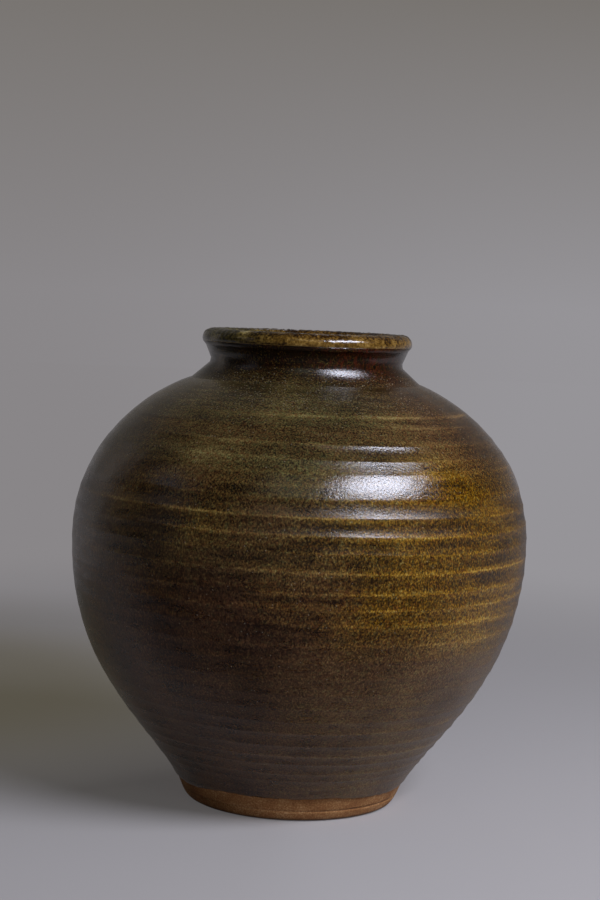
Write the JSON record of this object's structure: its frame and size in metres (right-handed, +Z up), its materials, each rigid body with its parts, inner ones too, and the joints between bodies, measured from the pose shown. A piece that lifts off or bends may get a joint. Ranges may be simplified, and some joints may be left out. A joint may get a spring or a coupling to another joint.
{
  "type": "onggi storage jar",
  "caption": "Round-shouldered stoneware storage jar with throwing rings, short flared neck, rolled lip and bare foot band, open at the mouth.",
  "frame": {"origin": "centre of the foot, on the table", "axes": "+Z up along the jar's axis of rotation, -Y towards the viewer of the picture, +X to the viewer's right"},
  "size_m": [0.2519, 0.252, 0.26],
  "materials": {
    "bare_clay": "unglazed stoneware, dry and finely grogged",
    "iron_glaze": "dark iron ash glaze, satin to gloss",
    "amber_glaze": "thin amber glaze, gloss",
    "lining_glaze": "thin dark brown wash, satin"
  },
  "bodies": {
    "root": {"base_slab": "bare_clay", "corner_coil": "bare_clay", "lower_wall": "bare_clay", "belly_wall": "bare_clay", "shoulder_wall": "bare_clay", "crown_wall": "bare_clay", "neck_collar": "bare_clay", "lip_coil": "bare_clay", "outer_glaze": "iron_glaze", "lip_glaze": "amber_glaze", "inner_glaze": "lining_glaze"}
  },
  "joints": []
}
